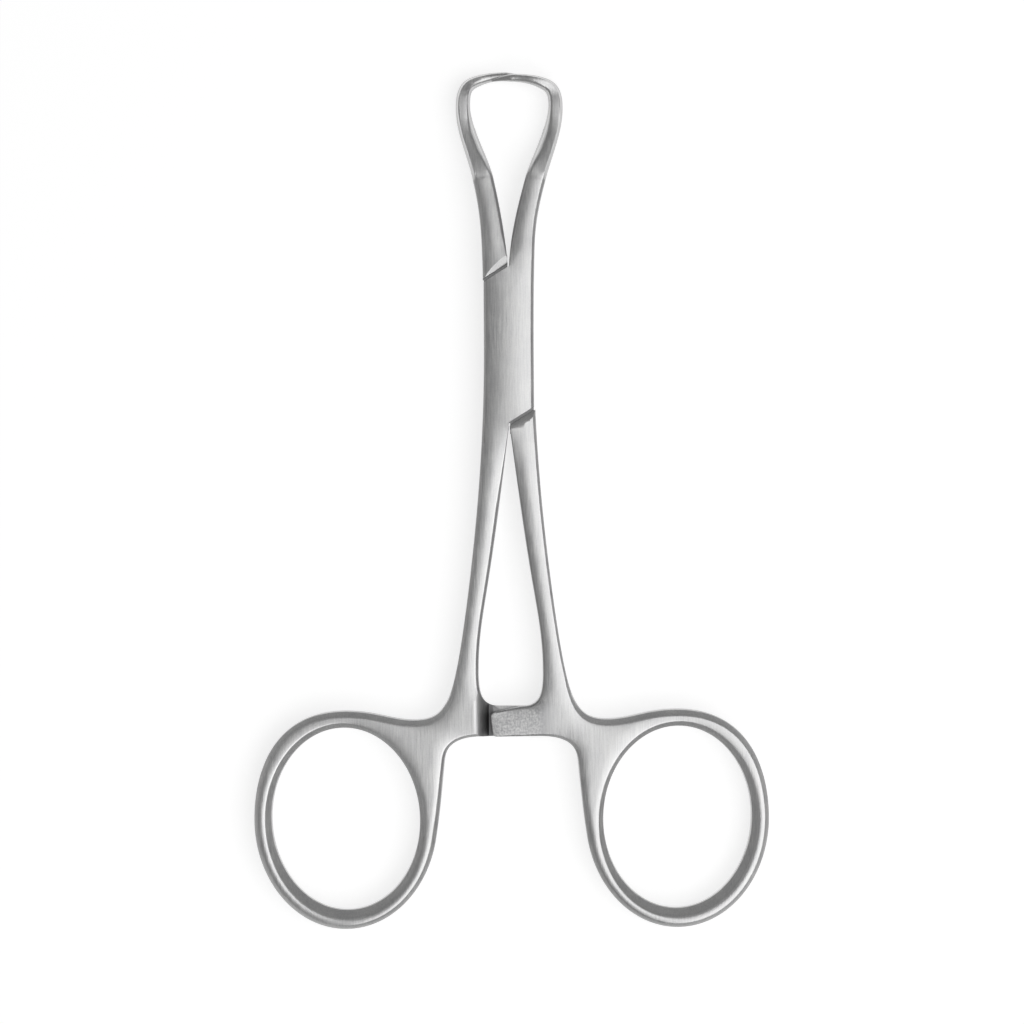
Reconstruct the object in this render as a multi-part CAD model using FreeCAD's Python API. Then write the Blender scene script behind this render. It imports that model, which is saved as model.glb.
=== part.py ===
import FreeCAD, Part
import math
import os

# Towel clamp, 110 mm long, forged in stainless steel. Millimetres.
# Two halves cross in a box lock: the tongue of one passes through a slot in the other, and a flush rivet
# is the pivot. Each half has a finger ring, a shank, a ratchet arm and a curved jaw with a ground point.
# X runs across the finger rings, Y from the rings to the jaws, Z through the thickness. The clamp lies
# flat, with the underside of the lock at Z = 0 and the pivot axis on X = Y = 0.
# Both halves are cut from the same forging. It is modelled about its own mid-plane as the half whose ring
# is on the left and whose jaw is on the right. Turned over about Y, it is the other half.

V = FreeCAD.Vector

# Box lock
LOCK_HALF_WIDTH = 3.23
LOCK_THICKNESS = 4.4
LOCK_ABOVE_PIVOT = 9.95     # to the crotch of the jaws
LOCK_BELOW_PIVOT = 10.5     # to the crotch of the shanks
CHEEK_REACH = 10.0          # from the pivot to the ends of the cheeks, measured up the middle
SHOULDER_SLOPE = 32.0       # degrees, of the ends of the cheeks across the lock
SHOULDER_GAP = 0.3          # between the end of a cheek and the shoulder of the tongue half
BEVEL_LENGTH = 0.75         # of the bevel ground above each shoulder
BEVEL_DEPTH = 0.6
CROTCH_GAP = 0.12           # between the halves where they part
OPEN_ANGLE = 60.0           # degrees, where the tongue meets the webs between the cheeks

# Tongue and slot
TONGUE_THICKNESS = 1.5
TONGUE_ARM = 0.9            # from the middle of the lock to the straight side of each arm of the tongue
TONGUE_CLEARANCE = 0.06     # on each face of the tongue
WEB_CLEARANCE = 0.12        # between the tongue and the webs

# Pivot rivet
RIVET_DIAMETER = 2.4
RIVET_HEAD_DIAMETER = 3.0
RIVET_HEAD_DEPTH = 0.5
RIVET_CLEARANCE = 0.04      # radial, in the tongue

# Shanks
SHANK_THICKNESS = 3.5
SHANK_TOP_WIDTH = 3.6       # just below the lock
SHANK_WAIST_WIDTH = 2.35    # at its thinnest, above the ratchet
WINDOW_HALF_WIDTH = 4.12    # of the space between the shanks, above the ratchet

# Ratchet
RATCHET_DROP = 46.5         # from the pivot to the upper edge of the arms
RATCHET_HEIGHT = 3.9
ARM_PAST_MIDDLE = 2.7       # how far the end of each arm passes the middle
ARM_TAPER = 0.5
RAMP_FOOT = 2.85            # from the middle to the foot of the ramp ground beside the other arm's end
RAMP_LENGTH = 1.95
TOOTH_COUNT = 4
TOOTH_PITCH = 1.1
TOOTH_DEPTH = 0.5
TOOTH_CLEARANCE = 0.08      # between the crests of the facing teeth

# Finger rings
RING_OFFSET = 21.33         # from the middle to the centre of each ring
RING_DROP = 14.4            # from the upper edge of the arms to the centres
HOLE_WIDTH = 19.0
HOLE_HEIGHT = 23.4
HOLE_LEAN = 2.8             # degrees, of the top of each hole outwards
RING_SIDE_WALL = 2.32
RING_TOP_WALL = 2.2
RING_LOW_WALL = 2.5
HANDLE_FOOT = 10.0          # degrees, below the side of the ring, where the handle runs into it
RING_THICKNESS = 3.2
SADDLE_DEPTH = 1.2          # of the dip between ring and shank, below the top of the ring

# Jaws
KINK_HEIGHT = 21.4          # above the pivot, where the ground taper of the jaw starts
KINK_OFFSET = 3.38
KINK_WIDTH = 2.66
KINK_THICKNESS = 3.5
KINK_LEAN = 14.0            # degrees, of the jaw outwards at its kink
BEND_HEIGHT = 30.8          # where the jaw turns inwards
BEND_OFFSET = 5.97
BEND_WIDTH = 1.72
BEND_THICKNESS = 2.0
POINT_HEIGHT = 34.5         # of the crossed points
POINT_WIDTH = 0.9           # of a point where it crosses the middle
POINT_START = 0.76          # share of the way round from the bend where it starts to sharpen
POINT_END = 0.2             # across its tip
POINT_REACH = 2.2           # how far it passes the middle
POINT_STEP = 0.36           # between the heights of the two points
POINT_CLEARANCE = 0.06      # between them, front to back

EDGE_ROUND = 0.7            # along the front and rear edges of the forging


def line(start, end):
    return Part.LineSegment(start, end).toShape()


def curve(*poles):
    """A smooth edge in plan that leaves and arrives along its first and last legs."""
    spline = Part.BSplineCurve()
    spline.buildFromPoles([V(x, y, 0) for x, y in poles], False, 3)
    return spline.toShape()


def ring_centre():
    return V(-RING_OFFSET, -RATCHET_DROP - RING_DROP, 0)


def ring_oval(height, width, lean=0.0):
    """An ellipse about the centre of the left ring. Its own parameter starts at the bottom, and its top
    leans outwards."""
    ellipse = Part.Ellipse(ring_centre(), height / 2, width / 2)
    ellipse.XAxis = V(math.sin(math.radians(lean)), -math.cos(math.radians(lean)), 0)
    return ellipse


def mixed(start, end, share):
    """The number that lies at a share of the way from one to another."""
    return start + (end - start) * share


def plate(outline, low, high):
    """A solid over a flat outline in plan, from one height to another."""
    solid = Part.Face(outline).extrude(V(0, 0, high - low))
    solid.translate(V(0, 0, low))
    return solid


def polygon(points):
    corners = [V(x, y, 0) for x, y in points]
    return Part.makePolygon(corners + corners[:1])


def half_turned(points):
    """The same points turned half round about the pivot."""
    return [(-x, -y) for x, y in points]


def turned_over(solid):
    """The same solid turned over about Y, as the tongue half lies."""
    return solid.rotated(V(0, 0, 0), V(0, 1, 0), 180)


def jaw_direction():
    """The direction of the jaw's axis at its kink, and the direction across it, outwards."""
    lean = math.radians(KINK_LEAN)
    return V(math.sin(lean), math.cos(lean), 0), V(math.cos(lean), -math.sin(lean), 0)


def shank_and_arm_edges():
    """The window side of the shank, and the ratchet arm round to its underside."""
    low, arm_top = -LOCK_BELOW_PIVOT, -RATCHET_DROP
    arm_low = arm_top - RATCHET_HEIGHT
    wall = -WINDOW_HALF_WIDTH

    def down(share):
        return mixed(low, arm_top, share)

    window = curve((-CROTCH_GAP / 2, low), (0.32 * wall, down(0.29)), (0.74 * wall, down(0.61)),
                   (wall, down(0.76)), (wall, down(0.88)))
    corner = curve((wall, down(0.88)), (wall, arm_top + 1.5), (0.9 * wall, arm_top), (0.36 * wall, arm_top))
    end_top = V(ARM_PAST_MIDDLE, arm_top - ARM_TAPER, 0)
    end_low = V(ARM_PAST_MIDDLE - ARM_TAPER / 2, arm_low + ARM_TAPER / 2, 0)
    arm = [line(V(0.36 * wall, arm_top, 0), end_top), line(end_top, end_low),
           line(end_low, V(0.9 * wall, arm_low, 0))]
    return [window, corner] + arm


def ring_edges():
    """The outside of the finger ring, from under the ratchet arm round to the dip beside the shank."""
    centre = ring_centre()
    half_width = HOLE_WIDTH / 2 + RING_SIDE_WALL
    oval = ring_oval(HOLE_HEIGHT + 2 * RING_LOW_WALL, 2 * half_width)
    below = Part.ArcOfEllipse(oval, -math.pi / 2, math.pi / 2 - math.radians(HANDLE_FOOT))
    foot = below.EndPoint
    leaving = foot + below.tangent(below.LastParameter)[0] * 2.6
    arm_low = -RATCHET_DROP - RATCHET_HEIGHT
    root = -0.9 * WINDOW_HALF_WIDTH

    def between(share_across, share_down):
        return mixed(root, foot.x, share_across), mixed(arm_low, foot.y, share_down)

    handle = curve((root, arm_low), between(0.36, 0.0), between(0.775, 0.08), between(0.815, 0.27),
                   between(0.875, 0.55), (leaving.x, leaving.y), (foot.x, foot.y))
    inner, outer = centre.x + half_width, centre.x - half_width
    top = centre.y + HOLE_HEIGHT / 2 + RING_TOP_WALL
    shoulder = curve((outer, centre.y), (outer, mixed(centre.y, top, 0.44)), (outer + 2.5, top), (centre.x, top))
    dip = V(inner - 1.2 * RING_SIDE_WALL, top - SADDLE_DEPTH, 0)
    crest = curve((centre.x, top), (mixed(centre.x, dip.x, 0.45), top), (mixed(centre.x, dip.x, 0.66), dip.y),
                  (dip.x, dip.y))
    return [handle, below.toShape(), shoulder, crest], dip


def flank_edge(dip):
    """The outside of the shank, from the dip beside the ring up to the middle of the lock."""
    low, arm_top = -LOCK_BELOW_PIVOT, -RATCHET_DROP
    waist = -WINDOW_HALF_WIDTH - SHANK_WAIST_WIDTH
    foot = waist - 0.75

    def down(share):
        return mixed(low, arm_top, share)

    return curve((dip.x, dip.y), (mixed(dip.x, foot, 0.44), dip.y), (mixed(dip.x, foot, 0.78), dip.y + 1.7),
                 (foot, arm_top + 3.2), (waist + 0.47, down(0.72)), (-SHANK_TOP_WIDTH - 0.95, down(0.4)),
                 (-SHANK_TOP_WIDTH, down(0.1)), (-LOCK_HALF_WIDTH, low / 2), (-LOCK_HALF_WIDTH, 0))


def jaw_edges():
    """The inside of the jaw from the crotch, its end at the kink, and its outside down to the lock."""
    top, inner = LOCK_ABOVE_PIVOT, CROTCH_GAP / 2
    along, across = jaw_direction()
    kink = V(KINK_OFFSET, KINK_HEIGHT, 0)
    inside, outside = kink - across * (KINK_WIDTH / 2), kink + across * (KINK_WIDTH / 2)
    leg = 0.4 * (KINK_HEIGHT - top)
    inside_leg, outside_leg = inside - along * leg, outside - along * leg
    return [curve((inner, top), (inner + 0.25, top + 0.9 * leg), (inside_leg.x, inside_leg.y), (inside.x, inside.y)),
            line(inside, outside),
            curve((outside.x, outside.y), (outside_leg.x, outside_leg.y), (LOCK_HALF_WIDTH + 0.15, top + 0.4 * leg),
                  (LOCK_HALF_WIDTH, top / 2), (LOCK_HALF_WIDTH, 0))]


def half_outline():
    """The plan of the forging, from the crotch of the shanks right round."""
    low, top, side = -LOCK_BELOW_PIVOT, LOCK_ABOVE_PIVOT, LOCK_HALF_WIDTH
    crotch = CROTCH_GAP / 2
    ring, dip = ring_edges()
    edges = shank_and_arm_edges() + ring + [flank_edge(dip)]
    edges += [line(V(-side, 0, 0), V(-side, top, 0)), line(V(-side, top, 0), V(crotch, top, 0))]
    edges += jaw_edges()
    edges += [line(V(side, 0, 0), V(side, low, 0)), line(V(side, low, 0), V(-crotch, low, 0))]
    return Part.Wire(edges)


def side_profile():
    """The space between the front and rear faces, right across the clamp."""
    lock, shank, ring, jaw = [t / 2 for t in (LOCK_THICKNESS, SHANK_THICKNESS, RING_THICKNESS, KINK_THICKNESS)]
    low, top, arms, rings = -LOCK_BELOW_PIVOT, LOCK_ABOVE_PIVOT, -RATCHET_DROP, ring_centre().y
    end = rings - HOLE_HEIGHT
    poles = [(2 * KINK_HEIGHT, jaw), (KINK_HEIGHT - KINK_WIDTH, jaw), (top + 3.0, lock), (top - 3.0, lock),
             (low + 3.0, lock), (low - 6.0, lock), (mixed(low, arms, 0.46), shank), (arms, shank), (rings, ring),
             (end, ring)]
    reach = 2 * RING_OFFSET
    edges = [line(V(-reach, poles[0][0], jaw), V(-reach, poles[0][0], -jaw)),
             line(V(-reach, end, ring), V(-reach, end, -ring))]
    for side in (1, -1):
        spline = Part.BSplineCurve()
        spline.buildFromPoles([V(-reach, y, side * z) for y, z in poles], False, 2)
        edges.append(spline.toShape())
    outline = Part.Wire(Part.__sortEdges__(edges))
    return Part.Face(outline).extrude(V(2 * reach, 0, 0))


def rim(solid):
    """The front and rear edges of the forging, all but the two at the end of the jaw."""
    jaw_end = V(KINK_OFFSET, KINK_HEIGHT, 0)
    found = []
    for edge in solid.Edges:
        first, last = edge.FirstParameter, edge.LastParameter
        points = [edge.valueAt(p) for p in (first, (first + last) / 2, last)]
        heights = [p.z for p in points]
        crosses = min(heights) < EDGE_ROUND and max(heights) > -EDGE_ROUND
        at_jaw_end = V(points[1].x, points[1].y, 0).distanceToPoint(jaw_end) < KINK_WIDTH / 4
        if not crosses and not at_jaw_end:
            found.append(edge)
    return found


def section(centre, along, width, thickness, corner):
    """A rectangle with rounded corners, square to a direction in plan."""
    across, up = V(along.y, -along.x, 0), V(0, 0, 1)
    arcs = []
    for quarter, (side, end) in enumerate(((1, 1), (-1, 1), (-1, -1), (1, -1))):
        hub = centre + across * (side * (width / 2 - corner)) + up * (end * (thickness / 2 - corner))
        turns = [math.radians(90 * quarter + turn) for turn in (0, 45, 90)]
        arcs.append([hub + across * (corner * math.cos(t)) + up * (corner * math.sin(t)) for t in turns])
    edges = []
    for arc, following in zip(arcs, arcs[1:] + arcs[:1]):
        edges += [Part.Arc(*arc).toShape(), line(arc[2], following[0])]
    return Part.Wire(edges)


def jaw_point(rise):
    """The tapered end of the jaw: out from the kink, round the bend, and in to a point in front of the
    mid-plane, its tip raised or lowered so that the two points lie side by side."""
    along, across = jaw_direction()
    kink = V(KINK_OFFSET, KINK_HEIGHT, 0)
    x, y, height = BEND_OFFSET, BEND_HEIGHT, POINT_HEIGHT + rise
    leg = 0.33 * (BEND_HEIGHT - KINK_HEIGHT)
    leaving = kink + along * leg
    outwards = curve((kink.x, kink.y), (leaving.x, leaving.y), (x, y - leg), (x, y))
    inwards = curve((x, y), (x, mixed(y, height, 0.57)), (0.77 * x, height - 0.6), (0.33 * x, height + 0.05),
                    (-0.25 * POINT_REACH, height + 0.15), (-POINT_REACH, height - 0.3))
    sections = []
    for share in (0.0, 0.33, 0.66):
        place = outwards.getParameterByLength(outwards.Length * share)
        sections.append(section(outwards.valueAt(place), outwards.tangentAt(place),
                                mixed(KINK_WIDTH, BEND_WIDTH, share), mixed(KINK_THICKNESS, BEND_THICKNESS, share),
                                mixed(EDGE_ROUND, 0.4 * BEND_WIDTH, share)))
    for share in (0.0, 0.17, 0.34, 0.52, POINT_START, 0.93, 1.0):
        taper = min(share / POINT_START, 1.0)
        sharpened = max(share - POINT_START, 0.0) / (1 - POINT_START)
        width = mixed(mixed(BEND_WIDTH, POINT_WIDTH, taper), POINT_END, sharpened)
        thickness = mixed(mixed(BEND_THICKNESS, POINT_WIDTH, taper), POINT_END, sharpened)
        forward = min(share / 0.52, 1.0) * (thickness + POINT_CLEARANCE) / 2
        place = inwards.getParameterByLength(inwards.Length * share)
        centre = inwards.valueAt(place) + V(0, 0, forward)
        sections.append(section(centre, inwards.tangentAt(place), width, thickness, 0.4 * width))
    return Part.makeLoft(sections, True, False, False, 2)


def ratchet_space():
    """What is ground away in front of the ratchet arm: the ramp, and the gaps between its saw teeth."""
    crest, root = -TOOTH_CLEARANCE / 2, -TOOTH_CLEARANCE / 2 - TOOTH_DEPTH
    face, front = SHANK_THICKNESS / 2, LOCK_THICKNESS
    top = 2.4 - RATCHET_DROP
    height = RATCHET_HEIGHT + 3.4
    ramp_top, foot, far = -RAMP_FOOT - RAMP_LENGTH, -RAMP_FOOT, 2 * ARM_PAST_MIDDLE
    ramp_middle = V(foot - 0.6 * RAMP_LENGTH, top, crest + 0.33 * (face - crest))
    corners = [V(foot, top, crest), V(far, top, crest), V(far, top, front), V(ramp_top, top, front),
               V(ramp_top, top, face)]
    edges = [line(a, b) for a, b in zip(corners, corners[1:])]
    edges.append(Part.Arc(corners[-1], ramp_middle, corners[0]).toShape())
    space = Part.Face(Part.Wire(edges)).extrude(V(0, -height, 0))
    low = top - height
    plan = polygon([(ramp_top, low), (ramp_top, top - 1.9), (ramp_top + 0.9, top), (far, top), (far, low)])
    space = space.common(plate(plan, root, front))
    middle = -RATCHET_DROP - RATCHET_HEIGHT / 2
    for tooth in range(TOOTH_COUNT):
        offset = (tooth - TOOTH_COUNT / 2) * TOOTH_PITCH
        gap = Part.makePolygon([V(0, top, crest), V(TOOTH_PITCH, top, root), V(TOOTH_PITCH, top, front),
                                V(0, top, front), V(0, top, crest)])
        gap = Part.Face(gap).extrude(V(0, -height, 0))
        gap.rotate(V(0, 0, 0), V(0, 0, 1), math.degrees(-offset / middle))
        space = space.fuse(gap)
    return space


def forging(rise):
    """One half before the lock is cut: left ring and shank, rear ratchet arm, and right jaw."""
    solid = plate(half_outline(), -LOCK_THICKNESS / 2, LOCK_THICKNESS / 2).common(side_profile())
    hole = Part.Wire([ring_oval(HOLE_HEIGHT, HOLE_WIDTH, HOLE_LEAN).toShape()])
    solid = solid.cut(plate(hole, -LOCK_THICKNESS, LOCK_THICKNESS))
    solid = solid.makeFillet(EDGE_ROUND, rim(solid))
    solid = solid.cut(ratchet_space())
    return solid.fuse(jaw_point(rise)).removeSplitter()


def cheek_end(x, gap=0.0):
    """The height at which the upper end of the cheeks crosses the lock, at a distance from the middle."""
    slope = math.radians(SHOULDER_SLOPE)
    return CHEEK_REACH + x * math.tan(slope) + gap / math.cos(slope)


def rivet():
    radius, head, half = RIVET_DIAMETER / 2, RIVET_HEAD_DIAMETER / 2, LOCK_THICKNESS / 2
    neck = half - RIVET_HEAD_DEPTH
    profile = Part.makePolygon([V(0, 0, -half), V(head, 0, -half), V(radius, 0, -neck), V(radius, 0, neck),
                                V(head, 0, half), V(0, 0, half), V(0, 0, -half)])
    return Part.Face(profile).revolve(V(0, 0, 0), V(0, 0, 1), 360)


def slot():
    """The slot through the lock: all of its middle layer but the two webs that join the cheeks."""
    half = TONGUE_THICKNESS / 2 + TONGUE_CLEARANCE
    reach = 2 * LOCK_HALF_WIDTH
    stop = LOCK_HALF_WIDTH + WEB_CLEARANCE
    web = TONGUE_ARM + WEB_CLEARANCE
    facing = math.radians(180 + OPEN_ANGLE)

    def stop_face(x):
        return (stop - x * math.cos(facing)) / math.sin(facing)

    lower_left = [(-reach, stop_face(-reach)), (-web, stop_face(-web)), (-web, -2 * reach), (-reach, -2 * reach)]
    upper_right = half_turned(lower_left)
    middle = [(-reach, -CHEEK_REACH - 2), (reach, -CHEEK_REACH - 2), (reach, CHEEK_REACH + 2),
              (-reach, CHEEK_REACH + 2)]
    space = plate(polygon(middle), -half, half)
    return space.cut(plate(polygon(lower_left), -half, half)).cut(plate(polygon(upper_right), -half, half))


def box_half():
    """The half with the slotted lock. Its cheeks end in slants that leave room for the tongue half."""
    reach = 2 * LOCK_HALF_WIDTH
    crotch = CROTCH_GAP / 2
    beyond = [(-reach, cheek_end(-reach)), (crotch, cheek_end(crotch)), (crotch, 2 * reach), (-reach, 2 * reach)]
    solid = forging(-POINT_STEP / 2)
    for points in (beyond, half_turned(beyond)):
        solid = solid.cut(plate(polygon(points), -LOCK_THICKNESS, LOCK_THICKNESS))
    return solid.cut(slot()).cut(rivet())


def tongue():
    """The tongue: a round hub between two arms that run into the jaw and the shank."""
    half = TONGUE_THICKNESS / 2
    radius = LOCK_HALF_WIDTH - WEB_CLEARANCE / 2
    root = CHEEK_REACH + 1.5
    arm = [(-radius, 0), (TONGUE_ARM, 0), (TONGUE_ARM, cheek_end(TONGUE_ARM) - WEB_CLEARANCE),
           (-CROTCH_GAP, cheek_end(0)), (-CROTCH_GAP, root), (-radius, root)]
    hub = Part.makeCylinder(radius, TONGUE_THICKNESS, V(0, 0, -half))
    return hub.fuse([plate(polygon(arm), -half, half), plate(polygon(half_turned(arm)), -half, half)])


def bevel():
    """The wedge ground off the front above the upper shoulder of the tongue half."""
    slope = math.radians(SHOULDER_SLOPE)
    reach = 2 * LOCK_HALF_WIDTH
    half = LOCK_THICKNESS / 2
    profile = Part.makePolygon([V(0, 0, half - BEVEL_DEPTH), V(0, BEVEL_LENGTH, half), V(0, BEVEL_LENGTH, 2 * half),
                                V(0, -BEVEL_LENGTH, 2 * half), V(0, -BEVEL_LENGTH, half - BEVEL_DEPTH),
                                V(0, 0, half - BEVEL_DEPTH)])
    wedge = Part.Face(profile).extrude(V(2 * reach, 0, 0))
    wedge.translate(V(-reach, 0, 0))
    wedge.rotate(V(0, 0, 0), V(0, 0, 1), math.degrees(slope))
    wedge.translate(V(0, cheek_end(0, SHOULDER_GAP), 0))
    return wedge.common(Part.makeBox(2 * reach, 2 * reach, 2 * half, V(-2 * reach - CROTCH_GAP / 2, 0, 0)))


def tongue_half():
    """The half whose tongue fills the slot. It turns about the rivet."""
    reach = 2 * LOCK_HALF_WIDTH
    crotch = CROTCH_GAP / 2
    upper = [(-reach, cheek_end(-reach, SHOULDER_GAP)), (-crotch, cheek_end(-crotch, SHOULDER_GAP)),
             (-crotch, 2 * reach), (reach, 2 * reach)]
    solid = turned_over(forging(POINT_STEP / 2))
    solid = solid.cut(plate(polygon(upper + half_turned(upper)), -LOCK_THICKNESS, LOCK_THICKNESS))
    for ground in (bevel(), bevel().mirror(V(0, 0, 0), V(0, 0, 1))):
        solid = solid.cut([ground, ground.rotated(V(0, 0, 0), V(0, 0, 1), 180)])
    solid = solid.fuse(tongue())
    hole = Part.makeCylinder(RIVET_DIAMETER / 2 + RIVET_CLEARANCE, LOCK_THICKNESS, V(0, 0, -LOCK_THICKNESS / 2))
    return solid.cut(hole).removeSplitter()


def main():
    os.makedirs("parts", exist_ok=True)
    for name, solid in (("box_half", box_half()), ("tongue_half", tongue_half()), ("pivot_rivet", rivet())):
        solid = solid.copy()
        solid.translate(V(0, 0, LOCK_THICKNESS / 2))
        solid.exportStep("parts/" + name + ".step")
        print(name, len(solid.Solids), "solid", round(solid.Volume, 2), "mm3", solid.isValid())


main()
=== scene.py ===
"""Towel clamp, 11 cm, closed and lying flat, seen from straight above as in the photograph.

The three CAD pieces are drawn again here with the surfaces of the real forging: side walls that lean in to
a distinct edge, crowned faces brushed along the clamp, and the ground faces of lock, ratchet and jaws.
"""

import math

import bmesh
import bpy
import numpy as np
from mathutils import Matrix, Vector
from mathutils.geometry import delaunay_2d_cdt


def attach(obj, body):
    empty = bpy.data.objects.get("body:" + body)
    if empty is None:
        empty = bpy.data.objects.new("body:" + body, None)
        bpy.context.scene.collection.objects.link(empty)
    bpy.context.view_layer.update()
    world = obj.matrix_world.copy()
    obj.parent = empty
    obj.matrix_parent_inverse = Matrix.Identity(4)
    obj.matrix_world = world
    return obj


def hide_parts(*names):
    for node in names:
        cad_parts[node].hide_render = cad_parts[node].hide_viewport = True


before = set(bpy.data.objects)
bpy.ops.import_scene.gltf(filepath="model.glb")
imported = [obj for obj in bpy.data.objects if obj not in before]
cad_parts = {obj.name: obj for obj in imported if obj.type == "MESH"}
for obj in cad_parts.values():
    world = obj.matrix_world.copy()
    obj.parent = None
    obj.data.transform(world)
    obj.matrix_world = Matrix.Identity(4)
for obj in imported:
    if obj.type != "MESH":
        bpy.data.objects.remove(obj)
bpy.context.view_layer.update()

MM = 0.001

# Sizes of the clamp, in millimetres, about the mid-plane and the pivot
LOCK_HALF_WIDTH = 3.23
LOCK_THICKNESS = 4.4
LOCK_ABOVE_PIVOT = 9.95
LOCK_BELOW_PIVOT = 10.5
CHEEK_REACH = 10.0
SHOULDER_SLOPE = math.radians(32.0)
SHOULDER_GAP = 0.42
CROTCH_GAP = 0.12
BEVEL_LENGTH = 1.3
BEVEL_DEPTH = 0.62
OPEN_ANGLE = math.radians(60.0)
TONGUE_THICKNESS = 1.5
TONGUE_ARM = 0.9
TONGUE_CLEARANCE = 0.06
WEB_CLEARANCE = 0.12
RIVET_RADIUS = 1.2
RIVET_HEAD_RADIUS = 1.5
RIVET_HEAD_DEPTH = 0.5
RIVET_CLEARANCE = 0.04
SHANK_THICKNESS = 3.5
SHANK_TOP_WIDTH = 3.6
SHANK_WAIST_WIDTH = 2.35
WINDOW_HALF_WIDTH = 4.12
RATCHET_DROP = 46.5
RATCHET_HEIGHT = 3.9
ARM_PAST_MIDDLE = 2.7
RAMP_FOOT = 2.85
RAMP_LENGTH = 1.95
TOOTH_COUNT = 4
TOOTH_PITCH = 1.1
TOOTH_DEPTH = 0.5
TOOTH_CLEARANCE = 0.08
RING_OFFSET = 21.33
RING_DROP = 60.9
HOLE_WIDTH = 19.0
HOLE_HEIGHT = 23.4
HOLE_LEAN = math.radians(2.8)
RING_SIDE_WALL = 2.32
RING_TOP_WALL = 2.2
RING_LOW_WALL = 2.5
HANDLE_FOOT = math.radians(10.0)
RING_THICKNESS = 3.2
SADDLE_DEPTH = 1.2
KINK_HEIGHT = 21.4
KINK_OFFSET = 3.38
KINK_WIDTH = 2.66
KINK_THICKNESS = 3.5
KINK_LEAN = math.radians(14.0)
BEND_HEIGHT = 30.8
BEND_OFFSET = 5.97
BEND_WIDTH = 1.85
BEND_THICKNESS = 2.0
POINT_HEIGHT = 34.5
POINT_WIDTH = 1.02
POINT_START = 0.76
POINT_END = 0.2
POINT_REACH = 2.2
POINT_STEP = 0.36
POINT_CLEARANCE = 0.06

# Where the real clamp departs from two equal halves: its jaws lean to the right, and its arms are filed unequally
JAW_LEAN = 0.24
FRONT_ARM_SLANT = 0.72
REAR_ARM_SLANT = 0.05
TEETH_STOP_SHORT = 0.85

# The section of the forging: a nearly upright wall, a slope filed round its edge, and a crowned face
SLOPE_WIDTH = 0.40
SLOPE_RISE = 0.36
EDGE_SOFTNESS = 0.05
WALL_ROUND = 0.07
RIM_WIDTH = 0.38
RIM_SOFTNESS = 0.04
INNER_RIM_WIDTH = 0.85
INNER_RIM_SOFTNESS = 0.25

# Distances from an edge at which the mesh has rows of points: closest where the wall and the slope turn over
INSETS = (0.004, 0.02, 0.045, 0.07, 0.16, 0.27, 0.35, 0.385, 0.41, 0.44, 0.49, 0.6, 0.7, 0.82, 1.0, 1.3, 1.7, 2.2, 2.85)

# Light and floor: brightness 1 is white
SKY_BRIGHTNESS = 0.29
SOFTBOX_BRIGHTNESS = 1.5
FLOOR_LIFT = 0.69

# Camera: how far away it hangs, in metres, and how wide a strip of the table the picture shows
CAMERA_DISTANCE = 0.42
VIEW_WIDTH = 0.13205


def mixed(start, end, share):
    """The number that lies at a share of the way from one to another."""
    return start + (end - start) * share


# Outlines in plan. Their runs lie towards the window and between the jaws, outside, or are cut away later.

IN, OUT, HOLE, CUT = range(4)


def spline(poles, spacing=0.25):
    """Points along a smooth curve that leaves and arrives along its first and last legs."""
    poles = np.array(poles, float)
    degree = 3
    spans = len(poles) - degree
    knots = np.concatenate([np.zeros(degree), np.arange(spans + 1), np.full(degree, spans)]).astype(float)
    length = np.linalg.norm(np.diff(poles, axis=0), axis=1).sum()
    count = max(int(length / spacing), 8)
    found = []
    for t in np.linspace(0, spans, count + 1):
        k = min(int(t), spans - 1) + degree
        d = [poles[j + k - degree] for j in range(degree + 1)]
        for r in range(1, degree + 1):
            for j in range(degree, r - 1, -1):
                left = knots[j + k - degree]
                share = (t - left) / (knots[j + 1 + k - r] - left)
                d[j] = mixed(d[j - 1], d[j], share)
        found.append(d[degree])
    return np.array(found)


def straight(start, end, spacing=0.25):
    count = max(int(math.dist(start, end) / spacing), 1)
    shares = np.linspace(0, 1, count + 1)[:, None]
    return np.array(start, float) * (1 - shares) + np.array(end, float) * shares


def ring_oval(height, width, lean, turns):
    """Points of an ellipse about the centre of the left ring, at turns counted from its bottom."""
    turns = np.asarray(turns)
    across, down = np.sin(turns) * width / 2, np.cos(turns) * height / 2
    x = across * math.cos(lean) + down * math.sin(lean)
    y = across * math.sin(lean) - down * math.cos(lean)
    return np.stack([x - RING_OFFSET, y - RING_DROP], axis=1)


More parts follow.
